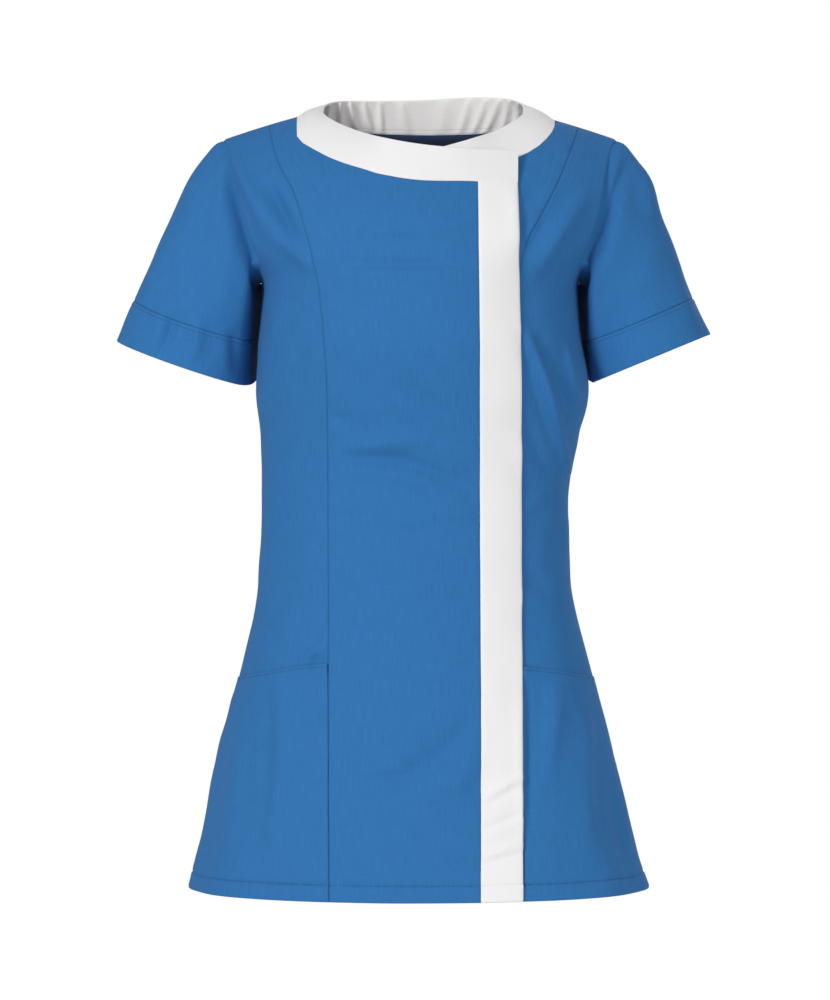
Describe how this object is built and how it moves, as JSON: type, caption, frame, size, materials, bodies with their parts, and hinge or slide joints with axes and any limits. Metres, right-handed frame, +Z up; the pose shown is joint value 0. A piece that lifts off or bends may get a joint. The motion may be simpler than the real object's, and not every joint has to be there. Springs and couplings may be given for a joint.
{
  "type": "medical tunic",
  "caption": "Fitted short-sleeved women's work tunic with a contrast neckband, an asymmetric full-length contrast placket, princess seams and hip pockets, filled out as worn.",
  "frame": {"origin": "midway between the two neck points, on the line of the shoulder ridge, where the wearer's shoulders hold the tunic up", "axes": "+Z up towards the neck, -Y towards the front, +X towards the wearer's left"},
  "size_m": [0.5578, 0.2636, 0.7467],
  "materials": {
    "tunic_cloth": "fine twill, matt with a slight sheen",
    "contrast_cloth": "fine twill, matt white",
    "facing_cloth": "plain weave, matt navy"
  },
  "bodies": {
    "root": {"front_centre": "tunic_cloth", "front_side_right": "tunic_cloth", "front_left_centre": "tunic_cloth", "front_left_side": "tunic_cloth", "back": "tunic_cloth", "sleeve_right": "tunic_cloth", "sleeve_left": "tunic_cloth", "cuff_right": "tunic_cloth", "cuff_left": "tunic_cloth", "pocket_right": "tunic_cloth", "pocket_left": "tunic_cloth", "placket": "contrast_cloth", "neckband": "contrast_cloth", "back_neck_facing": "facing_cloth"}
  },
  "joints": []
}
